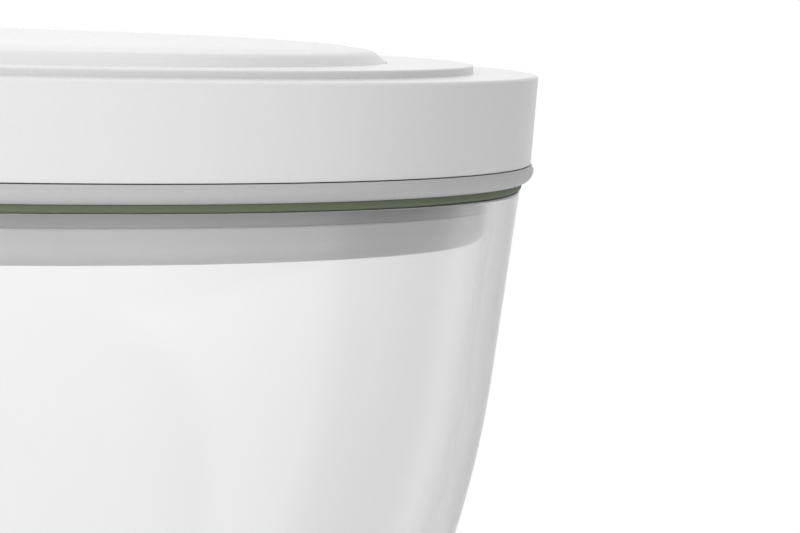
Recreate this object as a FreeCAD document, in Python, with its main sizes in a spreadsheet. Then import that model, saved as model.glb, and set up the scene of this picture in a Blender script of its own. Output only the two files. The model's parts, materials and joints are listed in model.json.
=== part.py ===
import FreeCAD
import Part
import Sketcher
import math
import os

# Vacuum canister: a clear tapered jar under a two-part lid. The white cap turns on the grey inner lid
# and works a flat piston pump through a cam sleeve; the button in the middle lets the air back in.
# Millimetres, +Z up, origin at the middle of the foot.

# Driving sizes: name, value in millimetres (angles in degrees, counts as they are)
SIZES = [
    ("jar_height", 81.6), ("jar_mouth_radius", 78.15), ("jar_wall", 3.3), ("jar_lip_round", 0.35),
    ("taper_height", 23.4), ("taper_run", 2.75), ("side_radius", 130.0), ("base_corner_radius", 16.0),
    ("base_thickness", 3.0), ("foot_recess_inset", 38.65), ("foot_recess", 0.8),
    ("running_gap", 0.3), ("skirt_gap", 0.2), ("seal_gap", 0.05), ("fit_gap", 0.1), ("press_gap", 0.02),
    ("overrun", 1.0),
    ("gasket_thickness", 0.95), ("gasket_overhang", 0.15), ("gasket_round", 0.3),
    ("flange_overhang", 1.6), ("flange_thickness", 2.25), ("flange_edge_run", 0.2),
    ("flange_edge_drop", 0.5), ("flange_under_round", 1.7), ("neck_inset", 4.15),
    ("neck_length", 2.55), ("neck_wall", 3.6),
    ("spigot_length", 1.5), ("upstand_inset", 4.35), ("upstand_wall", 1.8), ("hook_width", 1.2),
    ("hook_height", 1.0), ("hook_drop", 1.8), ("glide_thickness", 1.1),
    ("plug_overhang", 0.1), ("plug_height", 4.3), ("plug_wall", 1.8), ("plug_edge_round", 2.4),
    ("plug_top_round", 0.3), ("floor_thickness", 2.0), ("land_inset", 4.0),
    ("land_width", 14.0), ("land_height", 3.0), ("tower_radius", 5.0), ("tower_bore", 2.7),
    ("rim_overhang", 0.25), ("skirt_draft", 0.6), ("skirt_height", 11.0), ("cover_wall", 2.2),
    ("rim_round", 0.5), ("skirt_round", 0.12), ("rim_width", 8.2), ("step_height", 1.0),
    ("step_round", 0.3), ("seat_depth", 2.0), ("catch_width", 1.3), ("catch_height", 1.0),
    ("step_width", 11.0), ("dome_gap", 0.15), ("chamfer_run", 1.7), ("chamfer_rise", 1.4),
    ("chamfer_round", 2.5), ("shoulder_run", 5.0), ("shoulder_rise", 0.6), ("shoulder_round", 40.0),
    ("crown_rise", 0.2), ("dish_width", 3.0), ("dish_depth", 0.7), ("dish_round", 3.0),
    ("dome_wall", 2.0), ("collar_wall", 1.6), ("collar_length", 1.8),
    ("pump_inset", 28.0), ("cylinder_wall", 2.4), ("cylinder_head_room", 0.65),
    ("cylinder_foot_inset", 2.0), ("cylinder_foot_thickness", 1.8), ("foot_seal_height", 0.8),
    ("foot_seal_inset", 0.2), ("stroke", 4.0), ("twist_angle", 60.0), ("follower_count", 3),
    ("pin_radius", 1.5),
    ("pin_tip_room", 0.4), ("skirt_lip", 1.2),
    ("sleeve_gap", 0.4), ("sleeve_wall", 2.6), ("sleeve_flange_reach", 12.6),
    ("sleeve_flange_thickness", 2.0), ("screw_inset", 4.0), ("boss_radius", 3.0),
    ("boss_height", 1.3), ("boss_cap", 0.4),
    ("screw_count", 6), ("screw_radius", 1.25), ("screw_head_radius", 2.4),
    ("screw_head_height", 1.5), ("screw_head_round", 0.5), ("screw_reach", 3.1),
    ("piston_rest_gap", 0.8), ("piston_gap", 0.3), ("piston_rim_width", 5.7), ("piston_plate", 2.0),
    ("piston_hollow", 2.0), ("piston_skirt_wall", 3.1), ("hub_radius", 9.0), ("hub_height", 7.0),
    ("groove_rise", 0.6), ("groove_height", 2.0), ("outer_groove_depth", 2.0),
    ("inner_groove_depth", 1.7), ("seal_round", 0.4),
    ("valve_radius", 7.0), ("valve_middle", 0.9), ("valve_edge", 0.5),
    ("valve_stem_radius", 1.4), ("valve_lift", 0.6), ("barb_radius", 2.1), ("barb_tip_radius", 1.2),
    ("barb_height", 1.2), ("vent_count", 6), ("vent_radius", 1.1), ("vent_circle", 4.2),
    ("guard_radius", 10.0), ("guard_wall", 1.2), ("guard_floor", 0.8), ("guard_room", 0.6),
    ("guard_hole_radius", 1.0), ("guard_hole_circle", 5.4), ("guard_hole_count", 8),
    ("guard_round", 0.4),
    ("button_radius", 18.4), ("button_gap", 0.5), ("button_thickness", 2.2), ("button_hollow", 0.5),
    ("button_round", 0.5), ("button_boss_radius", 3.2), ("button_boss_length", 3.4),
    ("button_travel", 2.5), ("socket_depth", 4.2), ("stem_radius", 1.8),
    ("poppet_radius", 7.0), ("poppet_thickness", 1.8), ("poppet_round", 0.5),
    ("release_seal_radius", 6.4), ("release_seal_bore", 3.4), ("release_seal_height", 2.25),
    ("spring_radius", 4.1), ("spring_wire", 0.7), ("spring_turns", 4),
]

doc = FreeCAD.newDocument("vacuum_canister")
sheet = doc.addObject("Spreadsheet::Sheet", "Sizes")
for row, (size_name, size_value) in enumerate(SIZES, start=1):
    sheet.set(f"A{row}", size_name)
    sheet.set(f"B{row}", str(size_value))
    sheet.setAlias(f"B{row}", size_name)
doc.recompute()
sub_parts = []


def size(name):
    return f"Sizes.{name}"


def total(*terms):
    return "(" + " + ".join(terms) + ")"


def less(first, *rest):
    return "(" + " - ".join((first,) + rest) + ")"


def value(text):
    return float(sheet.evalExpression(text))


# Heights of the main faces, each worked out from the one below it
gasket_foot = total(size("jar_height"), size("seal_gap"))
flange_foot = total(gasket_foot, size("gasket_thickness"))
flange_top = total(flange_foot, size("flange_thickness"))
skirt_foot = total(flange_top, size("skirt_gap"))
rim = total(skirt_foot, size("skirt_height"))
step_top = total(rim, size("step_height"))
ledge_top = less(step_top, size("seat_depth"))
cover_under = less(rim, size("cover_wall"))
chamfer_top = total(step_top, size("chamfer_rise"))
dome_under = less(chamfer_top, size("dome_wall"))
shoulder_top = total(chamfer_top, size("shoulder_rise"))
crown_top = total(shoulder_top, size("crown_rise"))
dish_floor = less(crown_top, size("dish_depth"))
upstand_top = less(cover_under, size("running_gap"), size("glide_thickness"))
neck_foot = less(flange_foot, size("neck_length"))
plug_foot = less(neck_foot, size("plug_height"))
floor_top = total(plug_foot, size("floor_thickness"))
land_top = total(floor_top, size("land_height"))
cylinder_foot = total(floor_top, size("foot_seal_height"))
cylinder_flange_top = total(land_top, size("cylinder_foot_thickness"))
cylinder_top = less(cover_under, size("cylinder_head_room"))
piston_foot = total(floor_top, size("piston_rest_gap"))
groove_foot = total(piston_foot, size("groove_rise"))
groove_top = total(groove_foot, size("groove_height"))
plate_foot = total(piston_foot, size("piston_hollow"))
plate_top = total(plate_foot, size("piston_plate"))
slot_foot = total(groove_top, size("stroke"), size("running_gap"))
pin_height = total(slot_foot, size("running_gap"), size("pin_radius"))
skirt_top = total(pin_height, size("pin_radius"), size("skirt_lip"))
sleeve_foot = total(cylinder_flange_top, size("running_gap"))
sleeve_flange_foot = less(cover_under, size("sleeve_flange_thickness"))
button_under = less(dish_floor, size("button_thickness"))
button_boss_foot = less(button_under, size("button_boss_length"))
tower_top = less(button_boss_foot, size("button_travel"), size("running_gap"))
poppet_top = less(plug_foot, size("seal_gap"), size("release_seal_height"))
poppet_foot = less(poppet_top, size("poppet_thickness"))

# Radii, each worked out from the jar's mouth or from the piece that it fits
foot_recess_radius = less(size("jar_mouth_radius"), size("foot_recess_inset"))
gasket_radius = total(size("jar_mouth_radius"), size("gasket_overhang"))
flange_radius = total(size("jar_mouth_radius"), size("flange_overhang"))
neck_radius = less(size("jar_mouth_radius"), size("neck_inset"))
plug_radius = total(neck_radius, size("plug_overhang"))
upstand_radius = less(flange_radius, size("upstand_inset"))
rim_radius = total(flange_radius, size("rim_overhang"))
step_radius = less(rim_radius, size("rim_width"))
dome_radius = less(step_radius, size("step_width"))
cylinder_radius = less(neck_radius, size("pump_inset"))
land_inner_radius = total(cylinder_radius, size("land_inset"))
land_outer_radius = total(land_inner_radius, size("land_width"))
cylinder_foot_radius = less(land_outer_radius, size("cylinder_foot_inset"))
cylinder_screw_circle = less(cylinder_foot_radius, size("screw_inset"))
sleeve_flange_radius = total(cylinder_radius, size("sleeve_flange_reach"))
sleeve_screw_circle = less(sleeve_flange_radius, size("screw_inset"))
cylinder_outside = total(cylinder_radius, size("cylinder_wall"))
sleeve_bore = total(cylinder_outside, size("sleeve_gap"))
sleeve_outside = total(sleeve_bore, size("sleeve_wall"))
piston_radius = less(cylinder_radius, size("piston_gap"))
skirt_bore = less(piston_radius, size("piston_skirt_wall"))
valve_offset = f"({total(size('hub_radius'), skirt_bore)} / 2)"
hub_bore = total(size("tower_radius"), size("piston_gap"))
button_hole = total(size("button_radius"), size("button_gap"))
screw_hole = total(size("screw_radius"), size("fit_gap"), size("fit_gap"))
slot_half = total(size("pin_radius"), size("running_gap"))


def origin_plane(body, role):
    return next(item for item in body.Origin.OriginFeatures if item.Role == role)


def new_body(name):
    body = doc.addObject("PartDesign::Body", name)
    body.Label = name
    body.AllowCompound = True
    sub_parts.append(body)
    return body


def new_sketch(body, name, role, offset=None):
    sketch = body.newObject("Sketcher::SketchObject", f"{body.Label}_{name}")
    sketch.AttachmentSupport = [(origin_plane(body, role), "")]
    sketch.MapMode = "FlatFace"
    for axis, text in (offset or {}).items():
        sketch.setExpression(f"AttachmentOffset.Base.{axis}", text)
    return sketch


def pin_coordinate(sketch, kind, geometry, spot, text):
    # A point's distance from the origin along one axis, measured the positive way round
    amount = value(text)
    if abs(amount) < 1e-9:
        axis = -2 if kind == "DistanceX" else -1
        sketch.addConstraint(Sketcher.Constraint("PointOnObject", geometry, spot, axis))
        return
    ends = (-1, 1, geometry, spot) if amount > 0 else (geometry, spot, -1, 1)
    index = sketch.addConstraint(Sketcher.Constraint(kind, *ends, abs(amount)))
    sketch.setExpression(f"Constraints[{index}]", text if amount > 0 else f"-({text})")


def pin_point(sketch, geometry, spot, across, up):
    pin_coordinate(sketch, "DistanceX", geometry, spot, across)
    pin_coordinate(sketch, "DistanceY", geometry, spot, up)


def pin_radius_of(sketch, geometry, text):
    index = sketch.addConstraint(Sketcher.Constraint("Radius", geometry, value(text)))
    sketch.setExpression(f"Constraints[{index}]", text)


def vector(across, up):
    return FreeCAD.Vector(across, up, 0)


def draw_outline(sketch, outline):
    # A closed outline of straight runs
    corners = [vector(value(across), value(up)) for across, up in outline]
    for number, corner in enumerate(corners):
        after = corners[(number + 1) % len(corners)]
        sketch.addGeometry(Part.LineSegment(corner, after), False)
    for number in range(len(corners)):
        after = (number + 1) % len(corners)
        sketch.addConstraint(Sketcher.Constraint("Coincident", number, 2, after, 1))
    for number, (across, up) in enumerate(outline):
        pin_point(sketch, number, 1, across, up)


def draw_circles(sketch, circles):
    for number, (across, up, radius) in enumerate(circles):
        middle = vector(value(across), value(up))
        sketch.addGeometry(Part.Circle(middle, FreeCAD.Vector(0, 0, 1), value(radius)), False)
        pin_point(sketch, number, 3, across, up)
        pin_radius_of(sketch, number, radius)


def turn(body, sketch, name="turned"):
    feature = body.newObject("PartDesign::Revolution", f"{body.Label}_{name}")
    feature.Profile = sketch
    feature.ReferenceAxis = (sketch, ["V_Axis"])
    feature.Angle = 360
    doc.recompute()
    return feature


def turned_body(name, outline, offset=None):
    body = new_body(name)
    sketch = new_sketch(body, "outline", "XZ_Plane", offset)
    draw_outline(sketch, outline)
    turn(body, sketch)
    return body


def cut(body, sketch, depth, name, ways=(False, True)):
    # A pocket of the given depth, on the first side of the sketch, of those asked for, with material
    before = body.Shape.Volume
    pocket = body.newObject("PartDesign::Pocket", f"{body.Label}_{name}")
    pocket.Profile = sketch
    pocket.Type = "Length"
    pocket.setExpression("Length", depth)
    for reverse in ways:
        pocket.Reversed = reverse
        doc.recompute()
        if body.Shape.Volume < before - 1e-6:
            return pocket
    raise RuntimeError(f"{body.Label}: {name} cuts nothing")


def repeat_around(body, feature, count, name):
    pattern = body.newObject("PartDesign::PolarPattern", f"{body.Label}_{name}")
    pattern.Originals = [feature]
    pattern.Axis = (origin_plane(body, "Z_Axis"), [""])
    pattern.Angle = 360
    pattern.setExpression("Occurrences", count)
    body.Tip = pattern
    doc.recompute()
    return pattern


def round_edges(body, radius, rings, name):
    # Rounds the circular edges that lie at the given radii and heights
    base = body.Tip
    found = []
    for across, up in rings:
        for number, edge in enumerate(base.Shape.Edges, start=1):
            if not isinstance(edge.Curve, Part.Circle):
                continue
            off_radius = abs(edge.Curve.Radius - value(across))
            off_height = abs(edge.Curve.Center.z - value(up))
            if off_radius < 1e-4 and off_height < 1e-4:
                found.append(f"Edge{number}")
    fillet = body.newObject("PartDesign::Fillet", f"{body.Label}_{name}")
    fillet.Base = (base, found)
    fillet.setExpression("Radius", radius)
    doc.recompute()
    return fillet


def bore_holes(body, circles, top, depth, name):
    # Round holes straight down from the given height
    sketch = new_sketch(body, name, "XY_Plane", {"z": top})
    draw_circles(sketch, circles)
    return cut(body, sketch, depth, f"{name}_bored")


def valve_holes(body, top, depth, along):
    # The middle hole that holds a valve's stem, and the ring of vents that its cap covers,
    # with the valve's middle on the X or the Y axis
    holes = [(valve_offset, "0", total(size("valve_stem_radius"), size("fit_gap")))]
    count = int(value(size("vent_count")))
    for number in range(count):
        turn_share = number / count
        outward = f"({valve_offset} + {size('vent_circle')} * cos(360 deg * {turn_share}))"
        aside = f"({size('vent_circle')} * sin(360 deg * {turn_share}))"
        holes.append((outward, aside, size("vent_radius")))
    if along == "y":
        holes = [(aside, outward, radius) for outward, aside, radius in holes]
    bore_holes(body, holes, top, depth, "valve_holes")


def make_jar():
    # A straight taper below the mouth, a long side arc and a round corner down to the foot,
    # with an inner wall that keeps the same distance all the way
    body = new_body("jar")
    sketch = new_sketch(body, "outline", "XZ_Plane")
    mouth, height = value(size("jar_mouth_radius")), value(size("jar_height"))
    drop, run = value(size("taper_height")), value(size("taper_run"))
    wall, base = value(size("jar_wall")), value(size("base_thickness"))
    normal = FreeCAD.Vector(0, 0, 1)
    tilt = math.atan2(run, drop)
    outward = vector(math.cos(tilt), -math.sin(tilt))
    taper_end = vector(mouth - run, height - drop)
    side_middle = taper_end - outward * value(size("side_radius"))

    def side_and_corner(side_radius, corner_radius, foot):
        # Where the side arc passes into the corner arc that touches the flat base at height foot
        corner_height = foot + corner_radius
        sine = (side_middle.y - corner_height) / (side_radius - corner_radius)
        turn_angle = math.asin(sine)
        reach = side_radius - corner_radius
        corner_middle = side_middle + vector(math.cos(turn_angle), -math.sin(turn_angle)) * reach
        side = Part.Circle(side_middle, normal, side_radius)
        corner = Part.Circle(corner_middle, normal, corner_radius)
        side_arc = Part.ArcOfCircle(side, -turn_angle, -tilt)
        corner_arc = Part.ArcOfCircle(corner, -math.pi / 2, -turn_angle)
        return side_arc, corner_arc

    outer_side, outer_corner = side_and_corner(
        value(size("side_radius")), value(size("base_corner_radius")), 0)
    inner_side, inner_corner = side_and_corner(
        value(size("side_radius")) - wall, value(size("base_corner_radius")) - wall, base)
    mouth_inner = vector(mouth - wall / math.cos(tilt), height)
    pieces = [
        Part.LineSegment(vector(0, 0), outer_corner.StartPoint),
        outer_corner,
        outer_side,
        Part.LineSegment(outer_side.EndPoint, vector(mouth, height)),
        Part.LineSegment(vector(mouth, height), mouth_inner),
        Part.LineSegment(mouth_inner, inner_side.EndPoint),
        inner_side,
        inner_corner,
        Part.LineSegment(inner_corner.StartPoint, vector(0, base)),
        Part.LineSegment(vector(0, base), vector(0, 0)),
    ]
    for piece in pieces:
        sketch.addGeometry(piece, False)
    joins = [
        ("Tangent", 0, 2, 1, 1), ("Tangent", 1, 2, 2, 1), ("Tangent", 2, 2, 3, 1),
        ("Coincident", 3, 2, 4, 1), ("Coincident", 4, 2, 5, 1), ("Tangent", 5, 2, 6, 2),
        ("Tangent", 6, 1, 7, 2), ("Tangent", 7, 1, 8, 1), ("Coincident", 8, 2, 9, 1),
        ("Coincident", 9, 2, 0, 1), ("Horizontal", 0), ("Horizontal", 4), ("Horizontal", 8),
        ("Parallel", 3, 5), ("Coincident", 2, 3, 6, 3),
    ]
    for join in joins:
        sketch.addConstraint(Sketcher.Constraint(*join))
    pin_point(sketch, 0, 1, "0", "0")
    pin_point(sketch, 3, 2, size("jar_mouth_radius"), size("jar_height"))
    pin_point(sketch, 3, 1, less(size("jar_mouth_radius"), size("taper_run")),
              less(size("jar_height"), size("taper_height")))
    pin_radius_of(sketch, 2, size("side_radius"))
    pin_radius_of(sketch, 1, size("base_corner_radius"))
    pin_radius_of(sketch, 6, less(size("side_radius"), size("jar_wall")))
    pin_radius_of(sketch, 7, less(size("base_corner_radius"), size("jar_wall")))
    pin_point(sketch, 8, 2, "0", size("base_thickness"))
    turn(body, sketch)
    lip = max((edge for edge in body.Shape.Edges if isinstance(edge.Curve, Part.Circle)),
              key=lambda edge: (round(edge.Curve.Center.z, 6), -edge.Curve.Radius))
    inner_mouth = str(lip.Curve.Radius)
    round_edges(body, size("jar_lip_round"),
                [(size("jar_mouth_radius"), size("jar_height")), (inner_mouth, size("jar_height"))],
                "lip")
    recess = new_sketch(body, "recess", "XY_Plane")
    draw_circles(recess, [("0", "0", foot_recess_radius)])
    cut(body, recess, size("foot_recess"), "recess_cut")
    return body


def make_inner_lid():
    # The grey flange that shows under the cap, its neck inside the jar and the upstand the cap turns on
    inside = less(neck_radius, size("neck_wall"))
    spigot = less(plug_radius, size("plug_wall"), size("fit_gap"))
    spigot_foot = less(neck_foot, size("spigot_length"))
    upstand_inside = less(upstand_radius, size("upstand_wall"))
    hook_radius = total(upstand_radius, size("hook_width"))
    hook_top = less(upstand_top, size("hook_drop"))
    hook_foot = less(hook_top, size("hook_height"))
    body = turned_body("inner_lid", [
        (inside, spigot_foot), (spigot, spigot_foot), (spigot, neck_foot),
        (neck_radius, neck_foot), (neck_radius, flange_foot),
        (flange_radius, flange_foot),
        (flange_radius, less(flange_top, size("flange_edge_drop"))),
        (less(flange_radius, size("flange_edge_run")), flange_top),
        (upstand_radius, flange_top), (upstand_radius, hook_foot),
        (hook_radius, hook_foot), (hook_radius, hook_top), (upstand_radius, hook_top),
        (upstand_radius, upstand_top), (upstand_inside, upstand_top),
        (upstand_inside, flange_top), (inside, flange_top),
    ])
    round_edges(body, size("flange_under_round"), [(flange_radius, flange_foot)], "under_edge")
    return body


def make_plug_tray():
    # The tray that closes the underside of the lid, with the tower that guides the release stem
    inside = less(plug_radius, size("plug_wall"))
    body = turned_body("plug_tray", [
        (size("tower_bore"), plug_foot), (plug_radius, plug_foot),
        (plug_radius, neck_foot), (inside, neck_foot), (inside, floor_top),
        (land_outer_radius, floor_top), (land_outer_radius, land_top),
        (land_inner_radius, land_top), (land_inner_radius, floor_top),
        (size("tower_radius"), floor_top), (size("tower_radius"), tower_top),
        (size("tower_bore"), tower_top),
    ])
    round_edges(body, size("plug_edge_round"), [(plug_radius, plug_foot)], "lower_edge")
    round_edges(body, size("plug_top_round"), [(plug_radius, neck_foot)], "upper_edge")
    valve_holes(body, floor_top, total(size("floor_thickness"), size("overrun")), "x")
    hole = bore_holes(body, [(cylinder_screw_circle, "0", screw_hole)], land_top,
                      total(size("screw_reach"), size("fit_gap")), "screw_hole")
    repeat_around(body, hole, size("screw_count"), "screw_holes")
    return body


def make_lid_gasket():
    bore = total(neck_radius, size("fit_gap"))
    body = turned_body("lid_gasket", [
        (bore, gasket_foot), (gasket_radius, gasket_foot),
        (gasket_radius, flange_foot), (bore, flange_foot),
    ])
    round_edges(body, size("gasket_round"), [(gasket_radius, gasket_foot)], "outer_edge")
    return body


def make_glide_ring():
    # The slippery ring between the upstand and the cap that turns on it
    inside = less(upstand_radius, size("upstand_wall"))
    top = total(upstand_top, size("glide_thickness"))
    body = turned_body("glide_ring", [
        (inside, upstand_top), (upstand_radius, upstand_top),
        (upstand_radius, top), (inside, top),
    ])
    return body


def make_lid_cover():
    # The white cap: drafted skirt, flat rim, low step, and the ledge that carries dome and cam sleeve
    skirt_radius = less(rim_radius, size("skirt_draft"))
    inside = less(skirt_radius, size("cover_wall"))
    catch_radius = less(inside, size("catch_width"))
    hook_foot = less(upstand_top, size("hook_drop"), size("hook_height"))
    catch_top = less(hook_foot, size("running_gap"))
    catch_foot = less(catch_top, size("catch_height"))
    seat_radius = total(dome_radius, size("dome_gap"))
    body = turned_body("lid_cover", [
        (inside, skirt_foot), (skirt_radius, skirt_foot), (rim_radius, rim),
        (step_radius, rim), (step_radius, step_top), (seat_radius, step_top),
        (seat_radius, ledge_top), (sleeve_bore, ledge_top), (sleeve_bore, cover_under),
        (inside, cover_under), (inside, catch_top), (catch_radius, catch_top),
        (catch_radius, catch_foot), (inside, catch_foot),
    ])
    round_edges(body, size("rim_round"), [(rim_radius, rim)], "rim_edge")
    round_edges(body, size("step_round"), [(step_radius, step_top)], "step_edge")
    round_edges(body, size("skirt_round"), [(skirt_radius, skirt_foot)], "skirt_edge")
    boss_sketch = new_sketch(body, "boss", "XY_Plane", {"z": ledge_top})
    draw_circles(boss_sketch, [(sleeve_screw_circle, "0", size("boss_radius"))])
    boss = body.newObject("PartDesign::Pad", "lid_cover_boss_pad")
    boss.Profile = boss_sketch
    boss.setExpression("Length", size("boss_height"))
    doc.recompute()
    repeat_around(body, boss, size("screw_count"), "bosses")
    depth = less(total(ledge_top, size("boss_height")), cover_under, size("boss_cap"))
    hole = bore_holes(body, [(sleeve_screw_circle, "0", screw_hole)], cover_under, depth,
                      "screw_hole")
    repeat_around(body, hole, size("screw_count"), "screw_holes")
    return body


def make_top_dome():
    # The raised disc in the middle of the cap: bevelled edge, low crown and a dish around the button
    foot_inside = less(dome_radius, size("dome_wall"))
    collar = total(button_hole, size("collar_wall"))
    collar_foot = less(dome_under, size("collar_length"))
    chamfer_edge = less(dome_radius, size("chamfer_run"))
    shoulder_edge = less(chamfer_edge, size("shoulder_run"))
    dish_edge = total(button_hole, size("dish_width"))
    body = turned_body("top_dome", [
        (dome_radius, ledge_top), (dome_radius, step_top),
        (chamfer_edge, chamfer_top), (shoulder_edge, shoulder_top), (dish_edge, crown_top),
        (button_hole, dish_floor),
        (button_hole, collar_foot), (collar, collar_foot), (collar, dome_under),
        (foot_inside, dome_under), (foot_inside, ledge_top),
    ])
    round_edges(body, size("chamfer_round"), [(chamfer_edge, chamfer_top)], "chamfer_edge")
    round_edges(body, size("shoulder_round"), [(shoulder_edge, shoulder_top)], "shoulder_edge")
    round_edges(body, size("dish_round"), [(dish_edge, crown_top)], "dish_edge")
    return body


def make_pump_cylinder():
    # The still cylinder of the pump, with upright slots that keep the piston from turning
    inside = cylinder_radius
    body = turned_body("pump_cylinder", [
        (inside, cylinder_foot), (cylinder_outside, cylinder_foot), (cylinder_outside, land_top),
        (cylinder_foot_radius, land_top), (cylinder_foot_radius, cylinder_flange_top),
        (cylinder_outside, cylinder_flange_top), (cylinder_outside, cylinder_top),
        (inside, cylinder_top),
    ])
    slot = new_sketch(body, "slot", "YZ_Plane")
    slot_head = total(cylinder_top, size("overrun"))
    draw_outline(slot, [(f"-{slot_half}", slot_foot), (slot_half, slot_foot), (slot_half, slot_head),
                        (f"-{slot_half}", slot_head)])
    slot_cut = cut(body, slot, total(cylinder_outside, size("overrun")), "slot_cut", ways=(True,))
    repeat_around(body, slot_cut, size("follower_count"), "slots")
    hole = bore_holes(body, [(cylinder_screw_circle, "0", screw_hole)], cylinder_flange_top,
                      total(size("cylinder_foot_thickness"), size("overrun")), "screw_hole")
    repeat_around(body, hole, size("screw_count"), "screw_holes")
    return body


def make_cylinder_seal():
    inside = total(cylinder_radius, size("foot_seal_inset"))
    outside = less(cylinder_outside, size("foot_seal_inset"))
    return turned_body("cylinder_seal", [
        (inside, floor_top), (outside, floor_top), (outside, cylinder_foot), (inside, cylinder_foot),
    ])


def make_screw_ring(name, circle, seat, tip, head):
    # A ring of pan-head screws; seat is the face under their heads and head the far face of them
    body = turned_body(name, [
        ("0", tip), (size("screw_radius"), tip), (size("screw_radius"), seat),
        (size("screw_head_radius"), seat), (size("screw_head_radius"), head), ("0", head),
    ], offset={"x": circle})
    repeat_around(body, body.Tip, size("screw_count"), "ring")
    round_edges(body, size("screw_head_round"), [(size("screw_head_radius"), head)], "head_edges")
    return body


def make_pump_piston():
    # A flat piston with a seal groove outside and one in the hub, and a skirt that holds the followers
    rim_inside = less(piston_radius, size("piston_rim_width"))
    outer_groove = less(piston_radius, size("outer_groove_depth"))
    inner_groove = total(hub_bore, size("inner_groove_depth"))
    hub_top = total(piston_foot, size("hub_height"))
    body = turned_body("pump_piston", [
        (hub_bore, piston_foot), (size("hub_radius"), piston_foot), (size("hub_radius"), plate_foot),
        (rim_inside, plate_foot), (rim_inside, piston_foot), (piston_radius, piston_foot),
        (piston_radius, groove_foot), (outer_groove, groove_foot), (outer_groove, groove_top),
        (piston_radius, groove_top), (piston_radius, skirt_top), (skirt_bore, skirt_top),
        (skirt_bore, plate_top), (size("hub_radius"), plate_top), (size("hub_radius"), hub_top),
        (hub_bore, hub_top), (hub_bore, groove_top), (inner_groove, groove_top),
        (inner_groove, groove_foot), (hub_bore, groove_foot),
    ])
    pin_hole = new_sketch(body, "pin_hole", "YZ_Plane")
    draw_circles(pin_hole, [("0", pin_height, total(size("pin_radius"), size("press_gap")))])
    pin_cut = cut(body, pin_hole, total(piston_radius, size("overrun")), "pin_cut", ways=(True,))
    repeat_around(body, pin_cut, size("follower_count"), "pin_holes")
    valve_holes(body, plate_top, total(size("piston_plate"), size("overrun")), "y")
    return body


def make_seal_ring(name, inside, outside):
    foot = total(groove_foot, size("seal_gap"))
    top = less(groove_top, size("seal_gap"))
    body = turned_body(name, [(inside, foot), (outside, foot), (outside, top), (inside, top)])
    round_edges(body, size("seal_round"), [(inside, foot), (inside, top), (outside, foot),
                                           (outside, top)], "edges")
    return body


def make_piston_seal():
    inside = total(less(piston_radius, size("outer_groove_depth")), size("seal_gap"))
    return make_seal_ring("piston_seal", inside, less(cylinder_radius, size("seal_gap")))


def make_tower_seal():
    outside = less(total(hub_bore, size("inner_groove_depth")), size("seal_gap"))
    return make_seal_ring("tower_seal", total(size("tower_radius"), size("seal_gap")), outside)


def make_follower_pins():
    # Three pins across the piston skirt, the cylinder's upright slots and the cam sleeve's sloping ones
    body = new_body("follower_pins")
    start = total(skirt_bore, size("fit_gap"))
    sketch = new_sketch(body, "section", "YZ_Plane", {"z": start})
    draw_circles(sketch, [("0", pin_height, size("pin_radius"))])
    pad = body.newObject("PartDesign::Pad", "follower_pins_pad")
    pad.Profile = sketch
    pad.setExpression("Length", less(sleeve_outside, size("pin_tip_room"), start))
    doc.recompute()
    repeat_around(body, pad, size("follower_count"), "ring")
    return body


def make_cam_sleeve():
    # The sleeve that turns with the cap: sloping slots lift the piston by its stroke in one twist
    body = turned_body("cam_sleeve", [
        (sleeve_bore, sleeve_foot), (sleeve_outside, sleeve_foot),
        (sleeve_outside, sleeve_flange_foot), (sleeve_flange_radius, sleeve_flange_foot),
        (sleeve_flange_radius, cover_under), (sleeve_bore, cover_under),
    ])
    end_angle = f"({slot_half} / {sleeve_bore} * 180 / pi)"
    rise = f"{size('stroke')} / {size('twist_angle')}"
    start = less(pin_height, f"{rise} * {end_angle}")
    turn_angle = f"({size('twist_angle')} + 2 * {end_angle})"
    slot = new_sketch(body, "slot", "XZ_Plane")
    inside = less(sleeve_bore, size("overrun"))
    outside = total(sleeve_outside, size("fit_gap"))
    low, high = less(start, slot_half), total(start, slot_half)
    draw_outline(slot, [(inside, low), (outside, low), (outside, high), (inside, high)])
    before = body.Shape.Volume
    helix = body.newObject("PartDesign::SubtractiveHelix", "cam_sleeve_slot_cut")
    helix.Profile = slot
    helix.ReferenceAxis = (slot, ["V_Axis"])
    helix.Mode = "height-turns-angle"
    helix.setExpression("Height", f"{rise} * {turn_angle}")
    helix.setExpression("Turns", f"{turn_angle} / 360")
    doc.recompute()
    if body.Shape.Volume > before - 1e-6:
        raise RuntimeError("cam_sleeve: the slot cuts nothing")
    repeat_around(body, helix, size("follower_count"), "slots")
    across = f"({sleeve_screw_circle} * cos({end_angle} * 1 deg))"
    up = f"({sleeve_screw_circle} * sin({end_angle} * 1 deg))"
    hole = bore_holes(body, [(across, up, screw_hole)], cover_under,
                      total(size("sleeve_flange_thickness"), size("overrun")), "screw_hole")
    repeat_around(body, hole, size("screw_count"), "screw_holes")
    body.setExpression("Placement.Rotation.Angle", f"-{end_angle} * 1 deg")
    return body


def make_valve(name, seat, under, offset_axis):
    # A silicone umbrella valve: a thin cap over the vents, a stem through the plate and a barb below
    cap_foot = total(seat, size("seal_gap"))
    barb_top = less(under, size("valve_lift"), size("running_gap"))
    barb_foot = less(barb_top, size("barb_height"))
    body = turned_body(name, [
        ("0", barb_foot), (size("barb_tip_radius"), barb_foot), (size("barb_radius"), barb_top),
        (size("valve_stem_radius"), barb_top), (size("valve_stem_radius"), cap_foot),
        (size("valve_radius"), cap_foot), (size("valve_radius"), total(cap_foot, size("valve_edge"))),
        ("0", total(cap_foot, size("valve_middle"))),
    ])
    body.setExpression(f"Placement.Base.{offset_axis}", valve_offset)
    return body


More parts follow.
